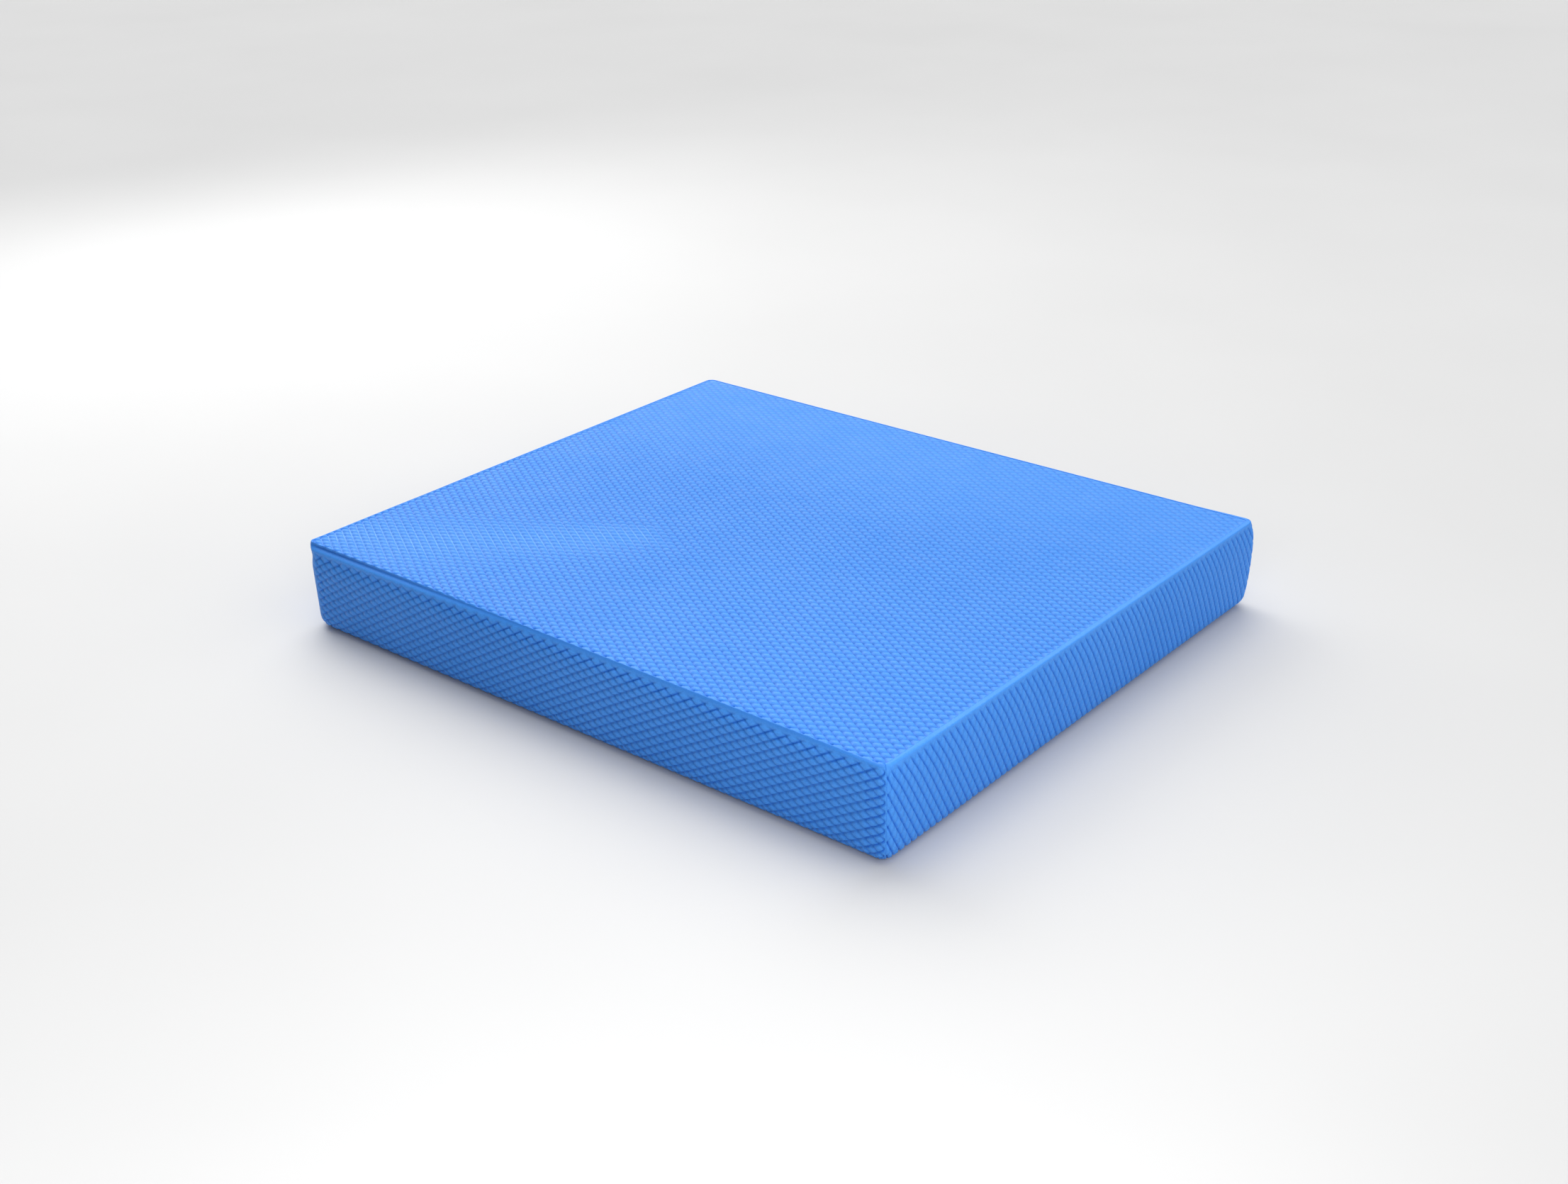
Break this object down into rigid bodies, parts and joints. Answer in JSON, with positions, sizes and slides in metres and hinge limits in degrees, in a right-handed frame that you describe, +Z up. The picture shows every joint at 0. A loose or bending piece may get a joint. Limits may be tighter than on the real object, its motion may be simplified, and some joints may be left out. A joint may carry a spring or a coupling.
{
  "type": "balance pad",
  "caption": "Thick rectangular foam slab with softly rounded edges and a diamond-embossed skin, stood on for balance exercise.",
  "frame": {"origin": "middle of the underside, on the floor", "axes": "+X along the length, +Y along the width towards the back, +Z up"},
  "size_m": [0.47, 0.4, 0.06],
  "materials": {
    "embossed_skin": "soft satin elastomer foam skin with fine diamond embossing",
    "core_foam": "matt closed-cell elastomer foam"
  },
  "bodies": {
    "root": {"foam_core": "core_foam", "top_skin": "embossed_skin", "base_skin": "embossed_skin", "front_skin": "embossed_skin", "back_skin": "embossed_skin", "left_skin": "embossed_skin", "right_skin": "embossed_skin"}
  },
  "joints": []
}
